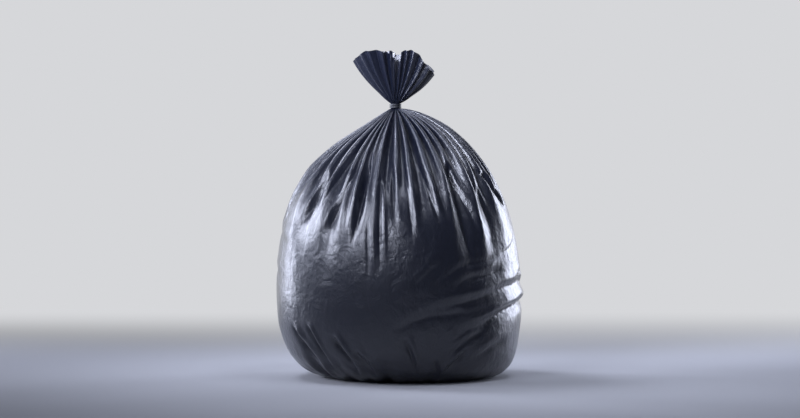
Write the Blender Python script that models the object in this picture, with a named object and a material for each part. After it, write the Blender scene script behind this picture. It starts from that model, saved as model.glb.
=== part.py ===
"""A full bin bag that stands on the floor, gathered and tied at its neck.

Blender 4.5, in metres, +Z up. The floor is z = 0 and the tied neck is centred on the Z axis.
-X is the bag's left side as it is seen from the front, and the front faces -Y.
"""

import math
import random
from typing import NamedTuple

import bmesh
import bpy
from mathutils import Vector

# The empty bag, as it comes off the roll.
FLAT_WIDTH = 0.737
FILM_STRETCH = 0.975

# The filled bag, measured from the axis of the neck to its outermost folds.
LEFT_REACH = 0.228
RIGHT_REACH = 0.239
FRONT_REACH = 0.222
BELLY_HEIGHT = 0.165
SHOULDER_HEIGHT = 0.5175

# The patch of the base that lies flat on the floor.
LEFT_PATCH = 0.102
RIGHT_PATCH = 0.136

# Lengths of the handles that bend the side curves: along the floor, below the belly, above it,
# and out and down from the neck.
HEEL_RUN = 0.092
LEFT_HEEL_DROP = 0.108
RIGHT_HEEL_DROP = 0.152
LEFT_BELLY_RISE = 0.249
RIGHT_BELLY_RISE = 0.212
SHOULDER_RUN = 0.119
LEFT_SHOULDER_DROP = 0.080
RIGHT_SHOULDER_DROP = 0.014

# The gathered neck, and how far the mouth of the bag leans out above it.
NECK_RADIUS = 0.0090
NECK_LENGTH = 0.0090
LEFT_FLARE = math.radians(42)
RIGHT_FLARE = math.radians(50)
FRONT_FLARE = math.radians(20)
TIE_FLARE = 1.17
MOUTH_WALL = 0.0030
THROAT_WALL_SHARE = 0.3

# Folds: how many go round, how far they run from the neck and from the base, where each splits in
# two towards the neck, and how deep they may press. STEEPEST is film length to girth in a fold.
FOLDS = 22
SHORTEST_RUN = 0.270
LONGEST_RUN = 0.470
SHORTEST_SPLIT = 0.140
LONGEST_SPLIT = 0.400
SPLIT_FADE = 0.10
RIM_SPLIT = 0.030
SHORTEST_TUCK = 0.060
LONGEST_TUCK = 0.210
TUCK_DEPTH = 0.009
DEEPEST_FOLD = 0.028
STEEPEST = 2.2
FADE_SHARE = 0.40
RIM_UNEVENNESS = 0.003

# How far in each of a wide fold's columns lies, and each column of the two narrow folds it splits
# into, as shares of the depth of its valley. Ridges are rounded, and valleys are sharp.
WIDE_FOLD = (0.0, 0.18, 0.45, 0.74, 1.0, 0.74, 0.45, 0.18)
SPLIT_FOLD = (0.0, 0.40, 1.0, 0.40, 0.0, 0.40, 1.0, 0.40)

# The torn-off rim is uneven: azimuth from the right, and the film's length above the tie. The front
# is lowest between its two notch marks, and the back dips a little behind them.
RIM = (
    (math.radians(0), 0.086),
    (math.radians(30), 0.098),
    (math.radians(60), 0.104),
    (math.radians(78), 0.098),
    (math.radians(96), 0.098),
    (math.radians(110), 0.105),
    (math.radians(155), 0.107),
    (math.radians(180), 0.108),
    (math.radians(198), 0.113),
    (math.radians(220), 0.120),
    (math.radians(232), 0.116),
    (math.radians(243), 0.092),
    (math.radians(282), 0.092),
    (math.radians(291), 0.110),
    (math.radians(301), 0.114),
    (math.radians(311), 0.110),
    (math.radians(322), 0.098),
    (math.radians(341), 0.090),
)

# The elastic band that ties the neck, doubled round it.
BAND_WIDTH = 0.0038
BAND_THICKNESS = 0.0019
BAND_GAP = 0.00045
CROSSING_ANGLE = math.radians(70)

# How finely the curved film is divided.
HEEL_ROWS = 6
SHOULDER_ROWS = 14
ROW_CROWDING = 1.35
MOUTH_ROWS = 4
BAND_STEPS = 32

FLOOR = 0.0
FULL_TURN = 2 * math.pi
FOLD_SEED = 11
WELD_DISTANCE = 1e-6
SHARP_ANGLE = math.radians(50)

# What is packed in the bag swells the film here: azimuth, height, swell and how wide it spreads.
LUMPS = (
    (math.radians(6), 0.145, 0.005, 0.060),
    (math.radians(-150), 0.330, 0.005, 0.070),
    (math.radians(-70), 0.210, 0.008, 0.110),
    (math.radians(75), 0.260, 0.009, 0.100),
    (math.radians(140), 0.140, 0.007, 0.080),
)


class Column(NamedTuple):
    """One line up the film, from the flat patch to the rim."""

    azimuth: float
    share: float
    wide: float
    split: float
    run: float
    split_run: float
    tuck: float
    lift: float


def between(first, last, share):
    return first + (last - first) * share


def eased(share):
    """A share from 0 to 1 that starts and ends gently."""
    held = min(max(share, 0.0), 1.0)
    return held * held * (3 - 2 * held)


def bezier(corners, share):
    """The point at this share of a cubic Bezier curve."""
    a, b, c, d = corners
    rest = 1 - share
    return a * rest**3 + b * (3 * rest**2 * share) + c * (3 * rest * share**2) + d * share**3


# The outline: (distance from the neck's axis, height) along the film, at any azimuth.


def side_value(left, right, azimuth):
    """A size that goes from its left value to its right value round the bag."""
    return between(left, right, (1 + math.cos(azimuth)) / 2)


def belly_reach(azimuth):
    """The belly's plan: a closed oval, wider to the right of the neck than to its left."""
    side = side_value(LEFT_REACH, RIGHT_REACH, azimuth)
    return 1 / math.hypot(math.cos(azimuth) / side, math.sin(azimuth) / FRONT_REACH)


def heel_curve(azimuth):
    belly = Vector((belly_reach(azimuth), BELLY_HEIGHT))
    drop = side_value(LEFT_HEEL_DROP, RIGHT_HEEL_DROP, azimuth)
    patch = Vector((side_value(LEFT_PATCH, RIGHT_PATCH, azimuth), FLOOR))
    return (patch, patch + Vector((HEEL_RUN, 0)), belly - Vector((0, drop)), belly)


def shoulder_curve(azimuth):
    belly = Vector((belly_reach(azimuth), BELLY_HEIGHT))
    rise = side_value(LEFT_BELLY_RISE, RIGHT_BELLY_RISE, azimuth)
    drop = side_value(LEFT_SHOULDER_DROP, RIGHT_SHOULDER_DROP, azimuth)
    neck = Vector((NECK_RADIUS, SHOULDER_HEIGHT))
    return (belly, belly + Vector((0, rise)), neck + Vector((SHOULDER_RUN, -drop)), neck)


def rim_length(azimuth):
    """The film's length above the tie here. It changes gently from each mark of the rim to the next."""
    turned = azimuth % FULL_TURN
    marks = RIM + ((RIM[0][0] + FULL_TURN, RIM[0][1]),)
    start, end = next(pair for pair in zip(marks, marks[1:]) if turned <= pair[1][0])
    return between(start[1], end[1], eased((turned - start[0]) / (end[0] - start[0])))


def mouth_point(azimuth, share):
    """The mouth's film opens from the tie as a flattened funnel of uneven length."""
    flare = between(FRONT_FLARE, side_value(LEFT_FLARE, RIGHT_FLARE, azimuth), math.cos(azimuth) ** 2)
    # It leans out most where it leaves the tie.
    flare *= between(TIE_FLARE, 1, share * share)
    along = rim_length(azimuth) * share
    neck_top = SHOULDER_HEIGHT + NECK_LENGTH
    return Vector((NECK_RADIUS + along * math.sin(flare), neck_top + along * math.cos(flare)))


def film_line(azimuth):
    """The film's outer folds in section, from the edge of the flat patch to the mouth's rim."""
    heel = heel_curve(azimuth)
    shoulder = shoulder_curve(azimuth)
    line = [bezier(heel, row / HEEL_ROWS) for row in range(HEEL_ROWS)]
    # The rows crowd towards the neck, where the pleats are closest.
    shares = [1 - (1 - row / SHOULDER_ROWS) ** ROW_CROWDING for row in range(SHOULDER_ROWS)]
    line += [bezier(shoulder, share) for share in shares]
    line.append(Vector((NECK_RADIUS, SHOULDER_HEIGHT)))
    line += [mouth_point(azimuth, row / MOUTH_ROWS) for row in range(MOUTH_ROWS + 1)]
    return line


def swell(azimuth, height):
    """How far the contents push the film out here."""
    total = 0.0
    for lump_azimuth, lump_height, size, spread in LUMPS:
        turn = math.remainder(azimuth - lump_azimuth, FULL_TURN)
        away = math.hypot(turn * FRONT_REACH, height - lump_height) / spread
        total += size * math.exp(-away * away)
    return total


# The folds. The girth of the film never changes, so a narrow ring of the bag has steep ones.


def plan_folds():
    """The columns of the film round the bag. Each fold starts at its ridge."""
    dice = random.Random(FOLD_SEED)
    widths = [dice.uniform(0.65, 1.35) for _ in range(FOLDS)]
    valleys = [dice.uniform(0.34, 0.66) for _ in range(FOLDS)]
    runs = [dice.uniform(SHORTEST_RUN, LONGEST_RUN) for _ in range(FOLDS)]
    split_runs = [dice.uniform(SHORTEST_SPLIT, LONGEST_SPLIT) for _ in range(FOLDS)]
    tucks = [dice.uniform(SHORTEST_TUCK, LONGEST_TUCK) for _ in range(FOLDS)]
    lifts = [dice.uniform(-1, 1) * RIM_UNEVENNESS for _ in range(FOLDS)]
    half = len(WIDE_FOLD) // 2
    columns = []
    start = 0.0
    for fold, width in enumerate(widths):
        for step, (wide, split) in enumerate(zip(WIDE_FOLD, SPLIT_FOLD)):
            flank = step / half
            place = valleys[fold] * flank if step < half else between(valleys[fold], 1, flank - 1)
            columns.append(Column(
                azimuth=(start + width * place) / sum(widths) * FULL_TURN,
                share=width / sum(widths),
                wide=wide,
                split=split,
                run=runs[fold],
                split_run=split_runs[fold],
                tuck=tucks[fold],
                lift=between(lifts[fold], lifts[(fold + 1) % FOLDS], place),
            ))
        start += width
    return columns


def spare_depth(radius, share):
    """How deep a fold that takes up this share of the girth is pressed by the film to spare here."""
    girth = FULL_TURN * radius
    spare = min(max(2 * FLAT_WIDTH * FILM_STRETCH / girth, 1), STEEPEST)
    return min(share / 2 * girth * math.sqrt(spare * spare - 1), DEEPEST_FOLD)


def folded_section(column):
    """The film's outer face in section at one column, folds pressed in: (radius, height) points."""
    line = film_line(column.azimuth)
    neck_row = HEEL_ROWS + SHOULDER_ROWS
    walked = [0.0]
    for before, after in zip(line, line[1:]):
        walked.append(walked[-1] + (after - before).length)
    section = []
    for row, point in enumerate(line):
        before, after = line[max(row - 1, 0)], line[min(row + 1, len(line) - 1)]
        tangent = (after - before).normalized()
        inward = Vector((-tangent.y, tangent.x))
        wide = column.wide * spare_depth(point.x, column.share)
        split = column.split * spare_depth(point.x, column.share / 2)
        from_neck = walked[neck_row] - walked[row]
        if row in (neck_row, neck_row + 1):
            depth = split
            inward = Vector((-1, 0))
        elif row > neck_row:
            share = (row - neck_row - 1) / MOUTH_ROWS
            depth = between(split, wide, eased(share * rim_length(column.azimuth) / RIM_SPLIT))
            inward = Vector((-1, 0))
            point = point + Vector((0, column.lift * share))
        else:
            depth = between(split, wide, eased((from_neck - column.split_run) / SPLIT_FADE + 0.5))
            depth *= eased((column.run - from_neck) / (FADE_SHARE * column.run))
            # A tuck starts from the flat patch, is deepest part way out, and runs out up the side.
            opening = eased(walked[row] / (FADE_SHARE * column.tuck))
            tuck = TUCK_DEPTH * opening * eased(1 - walked[row] / column.tuck)
            depth = max(depth, tuck * column.split)
            point = point - inward * swell(column.azimuth, point.y) * eased(walked[row] / LEFT_PATCH)
        section.append(point + inward * depth)
    return section


def bag_section(column):
    """The whole closed section at one column: up the outside, over the rim and down inside."""
    outside = folded_section(column)
    rim_row = len(outside) - 1
    inside = []
    for row in range(rim_row, rim_row - MOUTH_ROWS, -1):
        # The mouth narrows to nothing above the tie, so the wall closes in there too.
        wall = min(MOUTH_WALL, THROAT_WALL_SHARE * outside[row].x)
        inside.append(outside[row] - Vector((wall, 0)))
    return outside + inside


# Building.


def plastic(name, colour, roughness):
    material = bpy.data.materials.new(name)
    material.use_nodes = True
    shader = material.node_tree.nodes["Principled BSDF"]
    shader.inputs["Base Color"].default_value = (*colour, 1)
    shader.inputs["Roughness"].default_value = roughness
    shader.inputs["Metallic"].default_value = 0.0
    return material


def make_bag(parts):
    """The film, laid flat as a grid of columns round its girth and rows along it, then put in place."""
    columns = plan_folds()
    sections = [bag_section(column) for column in columns]
    rows = len(sections[0])
    film = bmesh.new()
    bmesh.ops.create_grid(film, x_segments=len(columns), y_segments=rows - 1, size=0.5)
    for vertex in film.verts:
        column = round((vertex.co.x + 0.5) * len(columns)) % len(columns)
        row = round((vertex.co.y + 0.5) * (rows - 1))
        azimuth = columns[column].azimuth
        radius, height = sections[column][row]
        vertex.co = (radius * math.cos(azimuth), radius * math.sin(azimuth), height)
    # The rolled grid is welded where its sides meet, then the flat patch and the throat are filled.
    sides = [vertex for vertex in film.verts if vertex.is_boundary]
    bmesh.ops.remove_doubles(film, verts=sides, dist=WELD_DISTANCE)
    bmesh.ops.holes_fill(film, edges=[edge for edge in film.edges if edge.is_boundary])
    bmesh.ops.recalc_face_normals(film, faces=film.faces)
    mesh = bpy.data.meshes.new("bag")
    film.to_mesh(mesh)
    film.free()
    mesh.shade_smooth()
    mesh.set_sharp_from_angle(angle=SHARP_ANGLE)
    mesh.materials.append(plastic("black film", (0.012, 0.014, 0.021), 0.32))
    parts.objects.link(bpy.data.objects.new("bag", mesh))


def band_point(turn):
    """The middle of the band after this angle of its two turns: two lanes that cross at the back."""
    lap, angle = divmod(turn, FULL_TURN)
    # Each lap runs in its lane, and changes over in the last part of its turn.
    change = eased((angle - (FULL_TURN - CROSSING_ANGLE)) / CROSSING_ANGLE)
    lane = (BAND_WIDTH + BAND_GAP) / 2
    side = 1 if lap == 0 else -1
    rise = side * lane * math.cos(math.pi * change)
    # The first lap's change passes over the second's.
    over = (BAND_THICKNESS + BAND_GAP) * math.sin(math.pi * change) if lap == 0 else 0.0
    radius = NECK_RADIUS + BAND_GAP + BAND_THICKNESS / 2 + over
    azimuth = math.pi / 2 + CROSSING_ANGLE / 2 + angle
    middle = SHOULDER_HEIGHT + NECK_LENGTH / 2
    return (radius * math.cos(azimuth), radius * math.sin(azimuth), middle + rise)


def make_neck_tie(parts):
    """The elastic band: a closed ribbon with rounded edges, swept twice round the neck."""
    ribbon = bpy.data.curves.new("neck_tie", "CURVE")
    ribbon.dimensions = "3D"
    ribbon.twist_mode = "Z_UP"
    ribbon.bevel_depth = BAND_THICKNESS / 2
    ribbon.bevel_resolution = 1
    ribbon.extrude = (BAND_WIDTH - BAND_THICKNESS) / 2
    path = ribbon.splines.new("POLY")
    path.points.add(2 * BAND_STEPS - 1)
    for step, point in enumerate(path.points):
        point.co = (*band_point(2 * FULL_TURN * step / (2 * BAND_STEPS)), 1)
    path.use_cyclic_u = True
    path.use_smooth = True
    ribbon.materials.append(plastic("black rubber", (0.018, 0.018, 0.020), 0.62))
    parts.objects.link(bpy.data.objects.new("neck_tie", ribbon))


for old in list(bpy.data.objects):
    bpy.data.objects.remove(old)

bin_bag = bpy.data.collections.new("bin_bag")
bpy.context.scene.collection.children.link(bin_bag)
make_bag(bin_bag)
make_neck_tie(bin_bag)
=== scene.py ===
"""A full bin bag, tied at the neck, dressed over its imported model."""

import math
import random

import bmesh
import bpy
import numpy as np
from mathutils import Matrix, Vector


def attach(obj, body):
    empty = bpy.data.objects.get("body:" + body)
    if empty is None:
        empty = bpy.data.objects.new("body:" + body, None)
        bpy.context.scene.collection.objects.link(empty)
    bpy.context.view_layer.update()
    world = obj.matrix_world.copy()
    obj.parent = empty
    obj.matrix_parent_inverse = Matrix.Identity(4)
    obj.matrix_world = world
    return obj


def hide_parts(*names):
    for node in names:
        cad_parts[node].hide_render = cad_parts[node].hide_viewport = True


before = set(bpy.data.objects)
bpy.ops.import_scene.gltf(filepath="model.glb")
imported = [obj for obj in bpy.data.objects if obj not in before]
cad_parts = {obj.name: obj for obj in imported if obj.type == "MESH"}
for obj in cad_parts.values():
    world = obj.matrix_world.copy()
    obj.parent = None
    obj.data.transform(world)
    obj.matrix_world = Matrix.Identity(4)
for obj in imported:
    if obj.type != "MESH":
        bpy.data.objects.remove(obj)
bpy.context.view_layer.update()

# The sack: one tube of black low-density polyethylene, about 35 micrometres thick, blown, cut and
# sealed at its base. Household refuse presses it out, and its girth never changes, so all the film
# to spare goes into folds below and above the tie, and into tucks at the base.

# The empty sack's width when flat, and the share of its girth that the filled one shows.
FLAT_WIDTH = 0.737
FILM_STRETCH = 0.975

# The filled bag, measured from the axis of the neck to its outermost folds.
LEFT_REACH = 0.228
RIGHT_REACH = 0.239
FRONT_REACH = 0.222
BELLY_HEIGHT = 0.165
SHOULDER_HEIGHT = 0.5175

# The patch of the base that lies flat on the floor.
LEFT_PATCH = 0.102
RIGHT_PATCH = 0.136

# Lengths of the handles that bend the side curves: along the floor, below the belly, above it,
# and out and down from the neck.
HEEL_RUN = 0.092
LEFT_HEEL_DROP = 0.108
RIGHT_HEEL_DROP = 0.152
LEFT_BELLY_RISE = 0.249
RIGHT_BELLY_RISE = 0.212
SHOULDER_RUN = 0.119
LEFT_SHOULDER_DROP = 0.080
RIGHT_SHOULDER_DROP = 0.014

# The gathered neck, and how far the mouth leans out above it. It leans out most where it leaves the tie.
NECK_RADIUS = 0.0090
NECK_LENGTH = 0.0090
LEFT_FLARE = math.radians(42)
RIGHT_FLARE = math.radians(50)
FRONT_FLARE = math.radians(20)
TIE_FLARE = 1.17

# The torn-off rim is uneven: azimuth from the right, and the film's length above the tie. Its front is
# torn down in a narrow notch, and a corner of the back stands up behind it.
RIM = (
    (math.radians(0), 0.086),
    (math.radians(30), 0.098),
    (math.radians(60), 0.104),
    (math.radians(78), 0.100),
    (math.radians(93), 0.101),
    (math.radians(98), 0.110),
    (math.radians(105), 0.107),
    (math.radians(155), 0.107),
    (math.radians(180), 0.108),
    (math.radians(198), 0.113),
    (math.radians(220), 0.120),
    (math.radians(232), 0.115),
    (math.radians(246), 0.109),
    (math.radians(256), 0.103),
    (math.radians(263), 0.087),
    (math.radians(277), 0.086),
    (math.radians(284), 0.107),
    (math.radians(291), 0.110),
    (math.radians(301), 0.114),
    (math.radians(311), 0.110),
    (math.radians(322), 0.098),
    (math.radians(341), 0.090),
)

# What is packed in the bag swells the film here: azimuth, height, swell and how wide it spreads.
LUMPS = (
    (math.radians(6), 0.145, 0.005, 0.060),
    (math.radians(-150), 0.330, 0.005, 0.070),
    (math.radians(-70), 0.210, 0.008, 0.110),
    (math.radians(75), 0.260, 0.009, 0.100),
    (math.radians(140), 0.140, 0.007, 0.080),
)

# The film is a grid of columns round the girth and rows along it, from the base to the rim. Its first
# row rings the middle of the base, at a small share of the way up.
COLUMNS = 640
BODY_ROWS = 200
NECK_ROWS = 4
MOUTH_ROWS = 30
ROWS = BODY_ROWS + NECK_ROWS + MOUTH_ROWS
FIRST_ROW = 0.004
CURVE_POINTS = 240
FULL_TURN = 2 * math.pi
BACK = math.pi / 2

dice = np.random.default_rng(5)


def between(first, last, share):
    return first + (last - first) * share


def eased(share):
    """A share from 0 to 1 that starts and ends gently."""
    held = np.clip(share, 0, 1)
    return held * held * (3 - 2 * held)


def bezier(a, b, c, d, share):
    rest = 1 - share
    return a * rest**3 + b * 3 * rest**2 * share + c * 3 * rest * share**2 + d * share**3


def side_value(left, right, azimuth):
    """A size that goes from its left value to its right value round the bag."""
    return between(left, right, (1 + math.cos(azimuth)) / 2)


def swell(azimuth, height):
    """How far the contents push the film out here."""
    total = 0.0
    for lump_azimuth, lump_height, size, spread in LUMPS:
        turn = math.remainder(azimuth - lump_azimuth, FULL_TURN)
        away = np.hypot(turn * FRONT_REACH, height - lump_height) / spread
        total = total + size * np.exp(-away * away)
    return total


def body_section(azimuth):
    """The body's outline at one azimuth, from the middle of the base to the neck: radius, height."""
    side = side_value(LEFT_REACH, RIGHT_REACH, azimuth)
    reach = 1 / math.hypot(math.cos(azimuth) / side, math.sin(azimuth) / FRONT_REACH)
    patch = side_value(LEFT_PATCH, RIGHT_PATCH, azimuth)
    heel_drop = side_value(LEFT_HEEL_DROP, RIGHT_HEEL_DROP, azimuth)
    rise = side_value(LEFT_BELLY_RISE, RIGHT_BELLY_RISE, azimuth)
    drop = side_value(LEFT_SHOULDER_DROP, RIGHT_SHOULDER_DROP, azimuth)
    share = np.linspace(0, 1, CURVE_POINTS)
    radius = np.concatenate([
        patch * share[:-1],
        bezier(patch, patch + HEEL_RUN, reach, reach, share[:-1]),
        bezier(reach, reach, NECK_RADIUS + SHOULDER_RUN, NECK_RADIUS, share),
    ])
    height = np.concatenate([
        0 * share[:-1],
        bezier(0, 0, BELLY_HEIGHT - heel_drop, BELLY_HEIGHT, share[:-1]),
        bezier(BELLY_HEIGHT, BELLY_HEIGHT + rise, SHOULDER_HEIGHT - drop, SHOULDER_HEIGHT, share),
    ])
    radius += swell(azimuth, height) * eased(radius / LEFT_PATCH - 1)
    walked = np.concatenate([[0], np.cumsum(np.hypot(np.diff(radius), np.diff(height)))])
    stops = np.linspace(FIRST_ROW, 1, BODY_ROWS) * walked[-1]
    return np.interp(stops, walked, radius), np.interp(stops, walked, height)


def rim_length(azimuth):
    """The film's length above the tie here. It changes gently from each mark of the rim to the next."""
    turned = azimuth % FULL_TURN
    marks = RIM + ((RIM[0][0] + FULL_TURN, RIM[0][1]),)
    start, end = next(pair for pair in zip(marks, marks[1:]) if turned <= pair[1][0])
    return between(start[1], end[1], eased((turned - start[0]) / (end[0] - start[0])))


def mouth_section(azimuth):
    """The mouth's outline above the neck, which opens as a flattened funnel of uneven length."""
    flare = between(FRONT_FLARE, side_value(LEFT_FLARE, RIGHT_FLARE, azimuth), math.cos(azimuth) ** 2)
    length = rim_length(azimuth)
    share = np.arange(1, MOUTH_ROWS + 1) / MOUTH_ROWS
    lean = flare * between(TIE_FLARE, 1, share**2)
    radius = NECK_RADIUS + length * share * np.sin(lean)
    height = SHOULDER_HEIGHT + NECK_LENGTH + length * share * np.cos(lean)
    return radius, height


def film_outline():
    """The film's outer folds as a smooth surface: one point for each row and column."""
    surface = np.zeros((ROWS, COLUMNS, 3))
    neck_heights = SHOULDER_HEIGHT + NECK_LENGTH * np.arange(1, NECK_ROWS + 1) / NECK_ROWS
    for column in range(COLUMNS):
        # The grid's sides meet up the back.
        azimuth = BACK + FULL_TURN * column / COLUMNS
        body_radius, body_height = body_section(azimuth)
        mouth_radius, mouth_height = mouth_section(azimuth)
        radius = np.concatenate([body_radius, np.full(NECK_ROWS, NECK_RADIUS), mouth_radius])
        surface[:, column, 0] = radius * math.cos(azimuth)
        surface[:, column, 1] = radius * math.sin(azimuth)
        surface[:, column, 2] = np.concatenate([body_height, neck_heights, mouth_height])
    return surface


def outward(surface):
    """The outward direction at each point of a film grid."""
    round_it = np.roll(surface, -1, 1) - np.roll(surface, 1, 1)
    along_it = np.gradient(surface, axis=0)
    direction = np.cross(round_it, along_it)
    return direction / np.linalg.norm(direction, axis=2, keepdims=True)


def soft_noise(rows_apart, columns_apart):
    """Smooth noise over the film grid, closed round the girth, from about -1 to 1."""
    knots = dice.uniform(-1, 1, (rows_apart + 3, columns_apart))
    row = np.linspace(0, rows_apart, ROWS)
    column = np.arange(COLUMNS) / COLUMNS * columns_apart
    row_knot = np.minimum(row.astype(int), rows_apart - 1)
    column_knot = column.astype(int)

    def weights(share):
        """The four weights of a cubic B-spline."""
        third = 3 * share**3
        return (
            (1 - share) ** 3 / 6,
            (third - 6 * share**2 + 4) / 6,
            (-third + 3 * share**2 + 3 * share + 1) / 6,
            share**3 / 6,
        )

    noise = np.zeros((ROWS, COLUMNS))
    for a, row_weight in enumerate(weights(row - row_knot)):
        for b, column_weight in enumerate(weights(column - column_knot)):
            picked = knots[(row_knot + a)[:, None], ((column_knot + b) % columns_apart)[None]]
            noise += row_weight[:, None] * column_weight[None] * picked
    return 2 * noise


outline = film_outline()
away_from_film = outward(outline)
walked_rows = np.cumsum(np.linalg.norm(np.diff(outline, axis=0), axis=2), axis=0)
from_base = np.concatenate([np.zeros((1, COLUMNS)), walked_rows])
below_tie = from_base[BODY_ROWS - 1] - from_base
above_tie = from_base - from_base[BODY_ROWS + NECK_ROWS - 1]
pitch = np.linalg.norm(np.roll(outline, -1, 1) - outline, axis=2)
girth_share = (BACK / FULL_TURN + np.arange(COLUMNS) / COLUMNS) % 1

# The folds. Wide folds run down the shoulder and up the mouth, and at the tie each splits in two. Their
# flanks are as steep as the film to spare in that ring of the bag makes them.

# How far they run down from the tie, how far below it and above it they are split, how deep one may
# press, and the last share of its run, in which it fades.
FOLDS = 22
FOLD_SEED = 11
SHORTEST_RUN = 0.270
LONGEST_RUN = 0.470
SHORTEST_SPLIT = 0.140
LONGEST_SPLIT = 0.400
SPLIT_FADE = 0.10
RIM_SPLIT = 0.030
DEEPEST_FOLD = 0.028
FADE_SHARE = 0.40

# A fold's width as a share of the mean, and where in it the valley lies.
NARROWEST_FOLD = 0.65
WIDEST_FOLD = 1.35
NEAREST_VALLEY = 0.34
FARTHEST_VALLEY = 0.66

# The film's length to the ring's girth: what it always has for its small puckers, and the most.
LEAST_SPARE = 1.06
STEEPEST = 2.2

# The folds wander by this share of the girth, but not near the tie, in patches along and round the film.
WANDER = 0.002
WANDER_FADE = 0.25
WANDER_PATCHES = (8, 16)

fold_dice = random.Random(FOLD_SEED)
widths = np.array([fold_dice.uniform(NARROWEST_FOLD, WIDEST_FOLD) for _ in range(FOLDS)])
valley_places = np.array([fold_dice.uniform(NEAREST_VALLEY, FARTHEST_VALLEY) for _ in range(FOLDS)])
runs = np.array([fold_dice.uniform(SHORTEST_RUN, LONGEST_RUN) for _ in range(FOLDS)])
split_runs = np.array([fold_dice.uniform(SHORTEST_SPLIT, LONGEST_SPLIT) for _ in range(FOLDS)])
wide_ridges = np.concatenate([[0], np.cumsum(widths)[:-1]]) / widths.sum()
wide_valleys = wide_ridges + valley_places * widths / widths.sum()
split_ridges = np.stack([wide_ridges, wide_valleys], -1).ravel()
split_valleys = (split_ridges + np.append(split_ridges[1:], 1)) / 2


def fold_wave(share, ridges, valleys):
    """0 at each ridge, rising along straight flanks to each valley, as a share of the girth."""
    across = np.diff(np.append(ridges, ridges[0] + 1))
    marks = np.stack([ridges, valleys], -1).ravel()
    rises = np.stack([0 * across, across / 2], -1).ravel()
    return np.interp(share, np.concatenate([marks - 1, marks, marks + 1]), np.tile(rises, 3))


def by_fold(share, values):
    """Each fold's own value, at every place on that fold."""
    return values[np.searchsorted(wide_ridges, share, side="right") - 1]


wander = WANDER * soft_noise(*WANDER_PATCHES) * eased(below_tie / WANDER_FADE)
fold_place = (girth_share + wander) % 1
split_wave = fold_wave(fold_place, split_ridges, split_valleys)
wide_wave = fold_wave(fold_place, wide_ridges, wide_valleys)
run = by_fold(fold_place, runs)
merged = np.where(
    below_tie > 0,
    eased((below_tie - by_fold(fold_place, split_runs)) / SPLIT_FADE + 0.5),
    eased(above_tie / RIM_SPLIT))
fold_end = np.where(below_tie > 0, eased((run - below_tie) / (FADE_SHARE * run)), 1)

film_pitch = FILM_STRETCH * 2 * FLAT_WIDTH / COLUMNS
spare = np.clip(film_pitch / pitch, LEAST_SPARE, STEEPEST)
steepness = pitch * COLUMNS * np.sqrt(spare**2 - 1)
split_depth = np.minimum(split_wave * steepness, DEEPEST_FOLD)
wide_depth = np.minimum(wide_wave * steepness, DEEPEST_FOLD)
fold_depth = between(split_depth, wide_depth, merged) * fold_end
rest_round = pitch * (1 + (spare - 1) * fold_end)

# Above the tie the film opens out into broad flat panels, with narrow folds at the mouth's two ends:
# azimuth in degrees, and how far in the film lies there, in millimetres at the rim.
PANELS = (
    (-180, 2.0), (-174, 0.0), (-168, 5.0), (-162, 0.0), (-155, 6.0), (-147, 0.0), (-141, 6.0), (-136, 0.0),
    (-126, 9.0), (-117, 0.0), (-109, 10.0), (-102, 0.5), (-93, 0.5), (-84, 14.0), (-77, 0.0), (-71, 9.0),
    (-66, 0.0), (-61, 9.0), (-56, 0.0), (-46, 11.0), (-40, 0.5), (-34, 8.0), (-27, 0.0), (-18, 9.0),
    (-10, 1.0), (-3, 6.0), (3, 0.0), (9, 5.0), (16, 0.0), (28, 8.0), (40, 1.0), (50, 9.0),
    (64, 0.0), (76, 9.0), (90, 1.0), (104, 8.0), (118, 0.5), (130, 9.0), (142, 0.0), (152, 6.0),
    (160, 0.5), (168, 4.0), (174, 0.0),
)

# The panels take over from the folds between these two lengths above the tie, and are full at the third.
PANELS_FROM = 0.006
PANELS_BY = 0.030
PANELS_FULL = 0.085
MILLIMETRE = 0.001

opened = eased((above_tie - PANELS_FROM) / (PANELS_BY - PANELS_FROM))
panel_marks, panel_depths = np.array(PANELS).T
rim_depth = MILLIMETRE * np.interp(360 * girth_share, panel_marks, panel_depths, period=360)
panel_depth = rim_depth * np.clip(above_tie / PANELS_FULL, 0, 1)
fold_depth = between(fold_depth, panel_depth, opened)

# The tucks of the base run out from the seal's middle and up the heel of the bag. They are tightest at
# the left, where the sealed base is drawn together, and lie flat under the bag.
TUCKS = 28
TUCK_DEPTH = 0.010

# From the least to the most: widths as shares of the mean, the valley's place in its tuck, how far
# from the middle of the base a tuck runs, and how strong it is.
TUCK_WIDTHS = (0.6, 1.4)
TUCK_VALLEYS = (0.3, 0.7)
TUCK_RUNS = (0.19, 0.33)
TUCK_FORCES = (0.2, 1.0)

# How strong they are at the right, as a share of the left, and how fast that changes round the bag.
RIGHT_TUCK_FORCE = 0.25
FORCE_TURN = 0.7

# How far from the middle of the base the tucks start to open, over how far they do, and where the
# last has ended. Each fades over the last share of its run.
TUCKS_FROM = 0.11
TUCKS_OPEN_OVER = 0.09
TUCKED_AS_FAR_AS = 0.36
TUCK_FADE_SHARE = 0.5

# The most film to spare that goes into tucks, and how much of it they keep when the film is relaxed.
TUCKED_SPARE = 1.5
TUCKED_LENGTH_SHARE = 0.8

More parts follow.
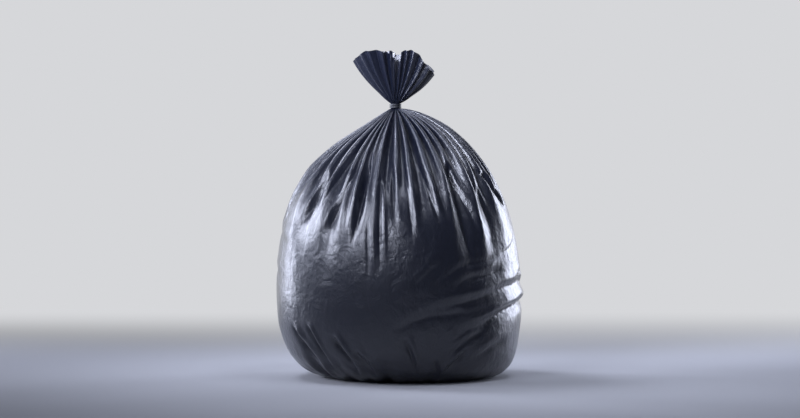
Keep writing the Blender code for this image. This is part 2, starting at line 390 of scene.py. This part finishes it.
tuck_widths = dice.uniform(*TUCK_WIDTHS, TUCKS)
tuck_ridges = np.concatenate([[0], np.cumsum(tuck_widths)[:-1]]) / tuck_widths.sum()
tuck_valleys = tuck_ridges + tuck_widths / tuck_widths.sum() * dice.uniform(*TUCK_VALLEYS, TUCKS)
tuck_marks = np.concatenate([tuck_valleys - 1, tuck_valleys, tuck_valleys + 1])
tuck_runs = np.interp(girth_share, tuck_marks, np.tile(dice.uniform(*TUCK_RUNS, TUCKS), 3))
tuck_force = np.interp(girth_share, tuck_marks, np.tile(dice.uniform(*TUCK_FORCES, TUCKS), 3))
tuck_end = eased((tuck_runs - from_base) / (TUCK_FADE_SHARE * tuck_runs)) * tuck_force
leftward = eased(0.5 - FORCE_TURN * np.cos(FULL_TURN * girth_share))
tuck_end *= between(RIGHT_TUCK_FORCE, 1, leftward)
tuck_end *= eased((from_base - TUCKS_FROM) / TUCKS_OPEN_OVER)
tuck_spare = np.clip(spare, 1, TUCKED_SPARE)
tuck_wave = fold_wave(girth_share, tuck_ridges, tuck_valleys) * pitch * COLUMNS
tuck_depth = np.minimum(tuck_wave * np.sqrt(tuck_spare**2 - 1) * tuck_end, TUCK_DEPTH)
near_base = from_base < TUCKED_AS_FAR_AS
fold_depth = np.where(near_base, np.maximum(fold_depth, tuck_depth), fold_depth)
rest_tucked = pitch * (1 + TUCKED_LENGTH_SHARE * (tuck_spare - 1) * tuck_end)
rest_round = np.where(near_base, np.maximum(rest_round, rest_tucked), rest_round)

film = outline - away_from_film * fold_depth[..., None]
film[..., 2] = np.maximum(film[..., 2], 0)
laid_round = np.linalg.norm(np.roll(film, -1, 1) - film, axis=2)
rest_round = between(rest_round, laid_round, opened)

# How far in from the outline the film may move before the contents stop it, and how far out:
# the distance along the film from the tie, or from the middle of the base, and the room there.
ROOM_FROM_TIE = (
    (0.00, 0.001), (0.02, 0.010), (0.08, 0.026), (0.20, 0.032), (0.30, 0.028), (0.42, 0.014), (0.50, 0.005))
ROOM_FROM_BASE = ((0.00, 0.003), (0.08, 0.010), (0.15, 0.015), (0.22, 0.017), (0.30, 0.013), (0.38, 0.005))
ROOM_OUTSIDE = ((0.00, 0.0005), (0.05, 0.002), (0.20, 0.003))


def room(distance, marks):
    return np.interp(distance, *zip(*marks))


from_tie = np.abs(below_tie)
deepest = -np.where(near_base, room(from_base, ROOM_FROM_BASE), room(from_tie, ROOM_FROM_TIE))
proudest = room(from_tie, ROOM_OUTSIDE)

# The film is then relaxed in small steps: it keeps its length both ways, is pressed out from inside,
# resists sharp bends along the folds, and stays between the contents and the outline. The holds are
# the share of each fault that one step mends, and the glide is the share of its move that goes on.
PRESSURE_STEP = 0.6e-5
GLIDE = 0.85
LENGTH_HOLD = 0.85
SKEW_HOLD = 0.15
EVENNESS_ALONG = 0.12
ROOM_HOLD = 0.5
NO_LENGTH = 1e-9


def pull_together(apart, rest, stiffness):
    """Half of the move that brings each pair of points to its rest length."""
    length = np.sqrt(np.einsum("ijk,ijk->ij", apart, apart)) + NO_LENGTH
    return apart * (0.5 * stiffness * (length - rest) / length)[..., None]


def relax(band, held, steps, evenness):
    """Relaxes a band of the film's rows, whose held row stays where the tie grips it."""
    last = film[band].copy()
    now = film[band].copy()
    start = now[held].copy()
    along = np.linalg.norm(np.diff(now, axis=0), axis=2)
    across = np.sqrt(rest_round[band][:-1] ** 2 + along**2)
    for _ in range(steps):
        drift = GLIDE * (now - last)
        last = now.copy()
        now = now + drift + PRESSURE_STEP * away_from_film[band]
        pull = pull_together(np.roll(now, -1, 1) - now, rest_round[band], LENGTH_HOLD)
        now += pull - np.roll(pull, 1, 1)
        pull = pull_together(now[1:] - now[:-1], along, LENGTH_HOLD)
        now[:-1] += pull
        now[1:] -= pull
        for turn in (-1, 1):
            pull = pull_together(np.roll(now, turn, 1)[1:] - now[:-1], across, SKEW_HOLD)
            now[:-1] += pull
            now[1:] -= np.roll(pull, -turn, 1)
        # Bending is evened out as a move away from the outline, so the outline keeps its curves.
        moved = now - outline[band]
        moved[1:-1] += EVENNESS_ALONG * ((moved[2:] + moved[:-2]) / 2 - moved[1:-1])
        bend = (np.roll(moved, 1, 1) + np.roll(moved, -1, 1)) / 2 - moved
        moved -= evenness * ((np.roll(bend, 1, 1) + np.roll(bend, -1, 1)) / 2 - bend)
        proud = np.einsum("ijk,ijk->ij", moved, away_from_film[band])
        back = np.maximum(deepest[band] - proud, 0) + np.minimum(proudest[band] - proud, 0)
        now = outline[band] + moved + (ROOM_HOLD * back)[..., None] * away_from_film[band]
        now[held] = start
        now[..., 2] = np.maximum(now[..., 2], 0)
    return now


body = slice(0, BODY_ROWS)
mouth = slice(BODY_ROWS + NECK_ROWS - 1, ROWS)
film[body] = relax(body, -1, steps=40, evenness=0.12)
film[mouth] = relax(mouth, 0, steps=20, evenness=0.08)

# Creases in the film: where each starts and ends (azimuth in degrees, height), how far it bows, its
# depth and its width. The sagging contents pull most of them, and others end the shoulder's folds.
CREASES = (
    # The right flank, and the slot above it.
    ((-26, 0.212), (-66, 0.178), 0.008, 0.0048, 0.009),
    ((20, 0.184), (-90, 0.118), 0.022, 0.0062, 0.008),
    ((-30, 0.240), (-74, 0.186), 0.012, 0.0030, 0.008),
    ((22, 0.154), (-66, 0.080), 0.018, 0.0090, 0.008),
    ((-10, 0.142), (-62, 0.100), 0.010, 0.0032, 0.006),
    ((2, 0.212), (-24, 0.176), 0.004, 0.0030, 0.005),
    ((-4, 0.282), (-36, 0.232), -0.006, 0.0028, 0.005),
    ((-24, 0.082), (-56, 0.034), 0.005, 0.0045, 0.007),
    ((-40, 0.108), (-66, 0.052), 0.004, 0.0035, 0.005),
    ((-52, 0.066), (-66, 0.010), 0.003, 0.0060, 0.005),
    ((-50, 0.140), (-96, 0.092), 0.010, 0.0028, 0.008),
    ((-66, 0.236), (-84, 0.176), 0.004, 0.0020, 0.007),
    ((-27, 0.412), (-12, 0.316), 0.004, 0.0085, 0.0060),
    # The long ends of the folds on the front of the shoulder.
    ((-99, 0.390), (-97, 0.205), 0.000, 0.0060, 0.0045),
    ((-105, 0.330), (-103, 0.180), 0.002, 0.0035, 0.0050),
    ((-106, 0.440), (-113, 0.235), 0.000, 0.0120, 0.0085),
    ((-117, 0.410), (-127, 0.270), 0.002, 0.0100, 0.0070),
    ((-136, 0.440), (-147, 0.280), 0.000, 0.0080, 0.0060),
    ((-127, 0.430), (-135, 0.300), 0.000, 0.0050, 0.0050),
    ((-93, 0.430), (-90, 0.300), 0.000, 0.0080, 0.0050),
    ((-84, 0.420), (-81, 0.270), 0.000, 0.0060, 0.0060),
    ((-74, 0.430), (-66, 0.285), 0.000, 0.0080, 0.0060),
    ((-53, 0.430), (-43, 0.270), 0.000, 0.0050, 0.0060),
    # The left flank.
    ((-164, 0.400), (-170, 0.290), 0.002, 0.0070, 0.0060),
    ((-158, 0.190), (-206, 0.214), 0.006, 0.0022, 0.009),
    ((-150, 0.262), (-196, 0.306), -0.010, 0.0020, 0.009),
    # The pockets between the tucks of the base.
    ((-152, 0.110), (-134, 0.022), 0.004, 0.0120, 0.006),
    ((-140, 0.118), (-127, 0.024), 0.004, 0.0090, 0.004),
    ((-124, 0.095), (-110, 0.015), 0.004, 0.0130, 0.006),
    ((-112, 0.070), (-100, 0.012), 0.003, 0.0060, 0.004),
    ((-86, 0.090), (-78, 0.012), 0.002, 0.0070, 0.004),
    ((-70, 0.050), (-66, 0.010), 0.001, 0.0050, 0.004),
    # The back.
    ((150, 0.250), (95, 0.170), 0.010, 0.0028, 0.010),
    ((120, 0.130), (62, 0.180), 0.010, 0.0026, 0.009),
    ((80, 0.300), (40, 0.230), 0.008, 0.0028, 0.010),
    ((70, 0.110), (28, 0.070), 0.006, 0.0028, 0.008),
)

# A crease deepens over the first quarter of its length and runs out over a little less than its last
# half. Beside it the film is rolled up: how high, how far off and how wide, as shares of its size.
CREASE_START = 1 / 4
CREASE_END = 1 / 2.2
ROLL_HEIGHT = 0.45
ROLL_AWAY = 1.9
ROLL_WIDTH = 1.1

# The creases wander up and down by this much, in patches along and round the film.
CREASE_WANDER = 0.005
CREASE_WANDER_PATCHES = (22, 40)


def crease_relief(azimuth, height):
    """How far the creases move the film out or in: a sharp valley with a soft roll beside it."""
    relief = 0 * height
    for (start, start_height), (end, end_height), bow, depth, width in CREASES:
        across = math.radians(end - start) * FRONT_REACH
        up = end_height - start_height
        length = math.hypot(across, up)
        away = np.radians((azimuth - start + 180) % 360 - 180) * FRONT_REACH
        along = (away * across + (height - start_height) * up) / length**2
        side = ((height - start_height) * across - away * up) / length
        # It bows most half way along.
        side = side * math.copysign(1, across) - 4 * bow * along * (1 - along)
        ends = eased(along / CREASE_START) * eased((1 - along) / CREASE_END)
        valley = np.exp(-np.abs(side / width))
        roll = np.exp(-((side / width - ROLL_AWAY) / ROLL_WIDTH) ** 2)
        relief += depth * ends * (ROLL_HEIGHT * roll - valley)
    return relief


# Household waste is uneven under the film, and handling has crumpled it: how high each crumpling is,
# and how many patches it has along the film and round it.
CRUMPLES = ((0.0015, 14, 24), (0.0004, 30, 60), (0.0002, 36, 160))
CRUMPLE_FADE = 0.16


def crumple(rows_apart, columns_apart):
    """Ridged noise: flat faces that meet in sharp creases."""
    return 0.5 - np.abs(soft_noise(rows_apart, columns_apart))


azimuth = np.degrees(np.arctan2(outline[..., 1], outline[..., 0]))
crumpled = sum(height * crumple(along, across) for height, along, across in CRUMPLES)
crumpled *= eased(below_tie / CRUMPLE_FADE) * eased(from_base / CRUMPLE_FADE)
wandering = film[..., 2] + CREASE_WANDER * soft_noise(*CREASE_WANDER_PATCHES)
film += (crumpled + crease_relief(azimuth, wandering))[..., None] * away_from_film
film[..., 2] = np.maximum(film[..., 2], 0)

# The sides of the rolled sheet meet within this distance, and an open edge below this height is the
# ring round the middle of the base.
WELD_DISTANCE = 1e-6
BASE_TOP = 0.01


def film_mesh(name, points):
    """A flat grid of the film, rolled and welded where its sides meet, with its middle closed."""
    sheet = bmesh.new()
    bmesh.ops.create_grid(sheet, x_segments=COLUMNS, y_segments=ROWS - 1, size=0.5, calc_uvs=True)
    for vertex in sheet.verts:
        column = round((vertex.co.x + 0.5) * COLUMNS) % COLUMNS
        row = round((vertex.co.y + 0.5) * (ROWS - 1))
        vertex.co = points[row, column]
    sides = [vertex for vertex in sheet.verts if vertex.is_boundary]
    bmesh.ops.remove_doubles(sheet, verts=sides, dist=WELD_DISTANCE)
    base = [edge for edge in sheet.edges if edge.is_boundary and edge.verts[0].co.z < BASE_TOP]
    bmesh.ops.holes_fill(sheet, edges=base)
    mesh = bpy.data.meshes.new(name)
    sheet.to_mesh(mesh)
    sheet.free()
    mesh.shade_smooth()
    piece = bpy.data.objects.new(name, mesh)
    bpy.context.scene.collection.objects.link(piece)
    return piece


bag_film = film_mesh("bag_film", film)


def linear(code):
    """A colour written as sRGB hex, as the linear values that a shader takes."""
    parts = [int(code[place:place + 2], 16) / 255 for place in (1, 3, 5)]
    return [part / 12.92 if part <= 0.04045 else ((part + 0.055) / 1.055) ** 2.4 for part in parts] + [1]


def add_node(material, kind, settings=(), **sockets):
    """Adds a shader node, sets its properties, and sets or links its input sockets by name."""
    tree = material.node_tree
    node = tree.nodes.new(kind)
    for key, value in dict(settings).items():
        setattr(node, key, value)
    for key, value in sockets.items():
        names = (key, key.replace("_", " "))
        socket = next(each for each in node.inputs if each.identifier in names)
        if isinstance(value, bpy.types.NodeSocket):
            tree.links.new(value, socket)
        else:
            socket.default_value = value
    return node


def new_material(name):
    material = bpy.data.materials.new(name)
    material.use_nodes = True
    material.node_tree.nodes.clear()
    return material


# Black low-density polyethylene film, blown and then crumpled: a smooth waxy skin with a soft blue
# sheen. Fine creases, about 8 mm apart and longer up the bag than round it, and dents about 26 mm
# apart break up its highlights: 120 and 38 to the metre.
FINE_CREASE_SPACING = 1 / 120
FINE_CREASE_HEIGHT = 0.0006
DENT_SPACING = 1 / 38
DENT_HEIGHT = 0.0016
CREASE_STRETCH = 0.45

film_black = new_material("black_ldpe_film")
place = add_node(film_black, "ShaderNodeTexCoord").outputs["Object"]
stretched = add_node(film_black, "ShaderNodeMapping", Vector=place, Scale=(1.0, 1.0, CREASE_STRETCH))
creases = add_node(
    film_black, "ShaderNodeTexNoise", Vector=stretched.outputs["Vector"],
    Scale=1 / FINE_CREASE_SPACING, Detail=5.0, Roughness=0.6, Distortion=1.2)
dents = add_node(
    film_black, "ShaderNodeTexNoise", Vector=place, Scale=1 / DENT_SPACING, Detail=4.0,
    Roughness=0.55, Distortion=0.8)
fine_bump = add_node(
    film_black, "ShaderNodeBump", Height=creases.outputs["Fac"], Strength=1.0,
    Distance=FINE_CREASE_HEIGHT)
bump = add_node(
    film_black, "ShaderNodeBump", Height=dents.outputs["Fac"], Strength=1.0, Distance=DENT_HEIGHT,
    Normal=fine_bump.outputs["Normal"])
film_shader = add_node(
    film_black, "ShaderNodeBsdfPrincipled", Base_Color=linear("#0b1123"), Roughness=0.42, IOR=1.51,
    Coat_Weight=1.0, Coat_Roughness=0.30, Coat_IOR=1.51, Normal=bump.outputs["Normal"],
    Coat_Normal=bump.outputs["Normal"])
add_node(film_black, "ShaderNodeOutputMaterial", Surface=film_shader.outputs["BSDF"])
bag_film.data.materials.append(film_black)

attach(bag_film, "root")
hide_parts("bag")

# The elastic band: black rubber about 4 mm wide, cut from an extruded tube and doubled round the neck.
# The part's own solid shows. The dust on its dull skin is drawn as coarse as it needs to show, at
# about 1.1 mm, or 900 grains to the metre.
BAND_GRAIN = 1 / 900
BAND_GRAIN_HEIGHT = 0.0003

band_black = new_material("black_rubber_band")
place = add_node(band_black, "ShaderNodeTexCoord").outputs["Object"]
grain = add_node(band_black, "ShaderNodeTexNoise", Vector=place, Scale=1 / BAND_GRAIN, Detail=3.0)
band_bump = add_node(
    band_black, "ShaderNodeBump", Height=grain.outputs["Fac"], Strength=0.3,
    Distance=BAND_GRAIN_HEIGHT)
band_shader = add_node(
    band_black, "ShaderNodeBsdfPrincipled", Base_Color=linear("#191b21"), Roughness=0.5,
    Normal=band_bump.outputs["Normal"])
add_node(band_black, "ShaderNodeOutputMaterial", Surface=band_shader.outputs["BSDF"])
neck_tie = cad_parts["neck_tie"]
for slot in neck_tie.material_slots:
    slot.material = band_black

# The studio: one sheet of pale paper that lies on the floor and curves up into a backdrop. Behind the
# bag it turns to an even colour, for the camera and in reflections, and in front it keeps the shadow.
SHADOW_KEPT_TO = 0.3
EVEN_FROM = 1.9
SHEET_SIDE = 6.4
SHEET_FRONT = -6.4
FLAT_TO = 1.5
CURVE_FROM = 6.4
CURVE_RADIUS = 1.2
CURVE_STEPS = 12
SHEET_TOP = 6.0

stage_pale = new_material("pale_paper")
paper = add_node(stage_pale, "ShaderNodeBsdfPrincipled", Base_Color=linear("#cbccd0"), Roughness=0.9)
even_paper = add_node(stage_pale, "ShaderNodeEmission", Color=linear("#d6d7da"), Strength=1.0)
ray = add_node(stage_pale, "ShaderNodeLightPath").outputs
camera_or_glossy = add_node(
    stage_pale, "ShaderNodeMath", {"operation": "ADD"}, Value=ray["Is Camera Ray"],
    Value_001=ray["Is Glossy Ray"])
seen = add_node(
    stage_pale, "ShaderNodeMath", {"operation": "ADD"}, Value=camera_or_glossy.outputs["Value"],
    Value_001=ray["Is Transmission Ray"])
place = add_node(stage_pale, "ShaderNodeTexCoord").outputs["Object"]
split_place = add_node(stage_pale, "ShaderNodeSeparateXYZ", Vector=place)
behind = add_node(
    stage_pale, "ShaderNodeMapRange", {"interpolation_type": "SMOOTHSTEP"},
    Value=split_place.outputs["Y"], From_Min=SHADOW_KEPT_TO, From_Max=EVEN_FROM)
share_even = add_node(
    stage_pale, "ShaderNodeMath", {"operation": "MULTIPLY"}, Value=seen.outputs["Value"],
    Value_001=behind.outputs["Result"])
paper_surface = add_node(
    stage_pale, "ShaderNodeMixShader", Fac=share_even.outputs["Value"], Shader=paper.outputs["BSDF"],
    Shader_001=even_paper.outputs["Emission"])
add_node(stage_pale, "ShaderNodeOutputMaterial", Surface=paper_surface.outputs["Shader"])

sweep = bmesh.new()
front_edge = [sweep.verts.new((side, SHEET_FRONT, 0)) for side in (-SHEET_SIDE, SHEET_SIDE)]
edge = sweep.edges.new(front_edge)
turns = np.linspace(0, math.pi / 2, CURVE_STEPS + 1)[1:]
curve = [
    (CURVE_FROM + CURVE_RADIUS * math.sin(turn), CURVE_RADIUS * (1 - math.cos(turn))) for turn in turns]
path = [(FLAT_TO, 0.0), (CURVE_FROM, 0.0)] + curve + [(CURVE_FROM + CURVE_RADIUS, SHEET_TOP)]
for depth, height in path:
    made = bmesh.ops.extrude_edge_only(sweep, edges=[edge])["geom"]
    edge = next(item for item in made if isinstance(item, bmesh.types.BMEdge))
    for vertex in edge.verts:
        vertex.co.y = depth
        vertex.co.z = height
bmesh.ops.recalc_face_normals(sweep, faces=sweep.faces)
sweep_mesh = bpy.data.meshes.new("backdrop")
sweep.to_mesh(sweep_mesh)
sweep.free()
sweep_mesh.shade_smooth()
sweep_mesh.materials.append(stage_pale)
backdrop = bpy.data.objects.new("backdrop", sweep_mesh)
bpy.context.scene.collection.objects.link(backdrop)

# The lamps: softboxes with grids, which narrow their light. The left and front-left ones are aimed over
# the bag, so they light its shoulders more than the floor before it. The others draw its edges.
LAMP_COLOUR = "#e0e6fb"


def softbox(name, place, aim, size, spread, watts):
    """A lamp that shines from a rectangle, whose size is its width and height."""
    lamp = bpy.data.lights.new(name, "AREA")
    lamp.shape = "RECTANGLE"
    lamp.size, lamp.size_y = size
    lamp.energy = watts
    lamp.color = linear(LAMP_COLOUR)[:3]
    lamp.spread = math.radians(spread)
    holder = bpy.data.objects.new(name, lamp)
    holder.location = place
    holder.rotation_euler = (Vector(aim) - Vector(place)).to_track_quat("-Z", "Y").to_euler()
    bpy.context.scene.collection.objects.link(holder)


softbox(
    "left_softbox", place=(-1.45, -0.15, 1.10), aim=(0, 0, 1.05), size=(1.2, 1.0), spread=75, watts=17)
softbox(
    "front_left_softbox", place=(-0.85, -1.50, 1.30), aim=(0, 0, 1.15), size=(1.0, 0.7), spread=60,
    watts=20)
softbox(
    "top_softbox", place=(0.60, -0.50, 2.10), aim=(0, 0, 0.60), size=(0.9, 0.5), spread=60, watts=1.2)
softbox(
    "top_left_softbox", place=(-0.90, 0.60, 2.00), aim=(0, 0, 0.60), size=(0.7, 0.7), spread=60, watts=2.5)
softbox(
    "left_back_softbox", place=(-1.75, 1.00, 0.60), aim=(0, 0, 0.30), size=(0.4, 1.2), spread=90, watts=6)
softbox(
    "right_softbox", place=(1.50, 1.25, 0.70), aim=(0, 0, 0.45), size=(0.8, 1.2), spread=75, watts=4.5)
softbox(
    "back_softbox", place=(0.10, 1.50, 1.50), aim=(0, 0, 0.60), size=(2.0, 0.7), spread=75, watts=2)

# The room around them is dim.
ROOM_COLOUR = "#d6def2"
ROOM_STRENGTH = 0.10

world = bpy.data.worlds.new("studio")
world.use_nodes = True
world.node_tree.nodes["Background"].inputs["Color"].default_value = linear(ROOM_COLOUR)
world.node_tree.nodes["Background"].inputs["Strength"].default_value = ROOM_STRENGTH
bpy.context.scene.world = world

# The camera looks down a little, as the photograph's seems to. At the bag, a pixel of its frame is
# PIXEL wide, and the neck's axis and the floor under it fall on the column and row given here.
FRAME_WIDTH = 800
FRAME_HEIGHT = 418
PIXEL = 0.00193
NECK_X = 395.5
FLOOR_Y = 376.5
SENSOR_WIDTH = 36
CAMERA_DISTANCE = 6.0
CAMERA_LIFT = math.radians(2)

lens = bpy.data.cameras.new("camera")
lens.sensor_width = SENSOR_WIDTH
lens.lens = SENSOR_WIDTH * CAMERA_DISTANCE / (FRAME_WIDTH * PIXEL)
camera = bpy.data.objects.new("camera", lens)
aim = Vector(((FRAME_WIDTH / 2 - NECK_X) * PIXEL, 0, (FLOOR_Y - FRAME_HEIGHT / 2) * PIXEL))
camera.location = aim + CAMERA_DISTANCE * Vector((0, -math.cos(CAMERA_LIFT), math.sin(CAMERA_LIFT)))
camera.rotation_euler = (aim - camera.location).to_track_quat("-Z", "Y").to_euler()
bpy.context.scene.collection.objects.link(camera)
bpy.context.scene.camera = camera
bpy.context.scene.view_settings.view_transform = "Standard"
